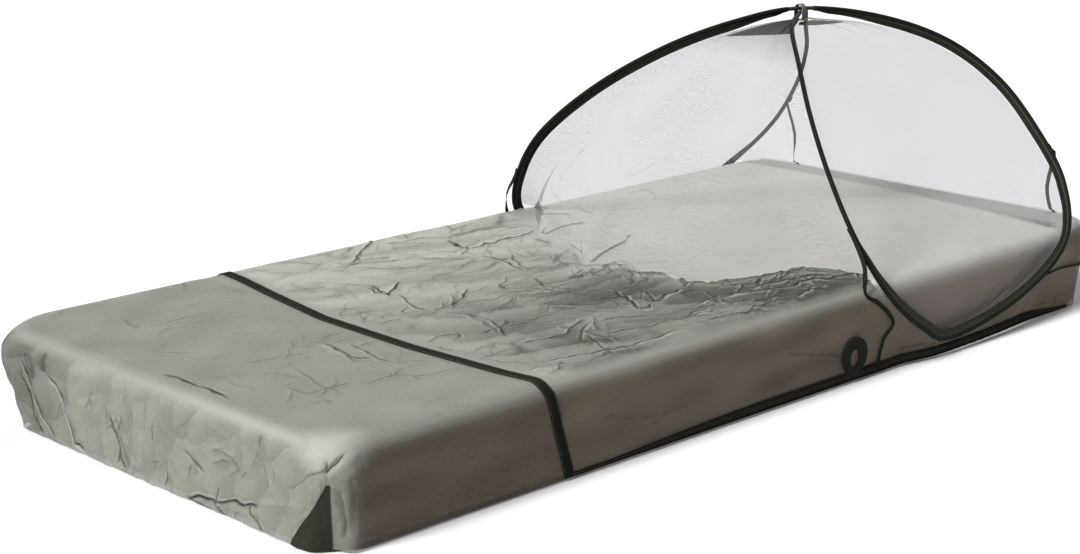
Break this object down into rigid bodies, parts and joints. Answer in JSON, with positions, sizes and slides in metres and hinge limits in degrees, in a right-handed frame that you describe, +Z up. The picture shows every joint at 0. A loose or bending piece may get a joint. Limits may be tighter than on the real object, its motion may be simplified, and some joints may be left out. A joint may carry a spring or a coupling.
{
  "type": "mosquito net canopy on mattress",
  "caption": "Single mattress in a fitted net cover, with a pop-up net dome over the head end, held up by a springy hoop bent into a figure of eight.",
  "frame": {"origin": "centre of the mattress's underside, on the surface it lies on", "axes": "+X along the bed toward the head end and the dome, +Y across the bed to the far side, +Z up"},
  "size_m": [2.0154, 0.9466, 0.5947],
  "materials": {
    "mattress_cloth": "matt white knitted cloth",
    "cover_net": "fine grey see-through net, crinkled",
    "dome_net": "very fine see-through net, taut",
    "trim": "matt dark olive woven tape",
    "rod": "dark satin coated rod",
    "tab_tape": "matt light olive tape"
  },
  "bodies": {
    "root": {"mattress": "mattress_cloth", "foot_cover": "cover_net", "bed_cover": "cover_net", "cross_strap": "trim", "dome_near_side": "dome_net", "dome_far_side": "dome_net", "dome_front": "dome_net", "dome_head": "dome_net", "near_sleeve": "trim", "far_sleeve": "trim", "rod_upper": "rod", "rod_lower": "rod", "apex_tab": "tab_tape", "front_gusset": "trim", "side_gusset": "tab_tape", "near_hem_tape": "trim", "far_hem_tape": "trim", "corner_patch": "trim", "near_foot_tie": "trim", "near_head_tie": "trim", "far_foot_tie": "trim", "far_head_tie": "trim", "corner_tape": "trim", "side_loop": "trim"}
  },
  "joints": []
}
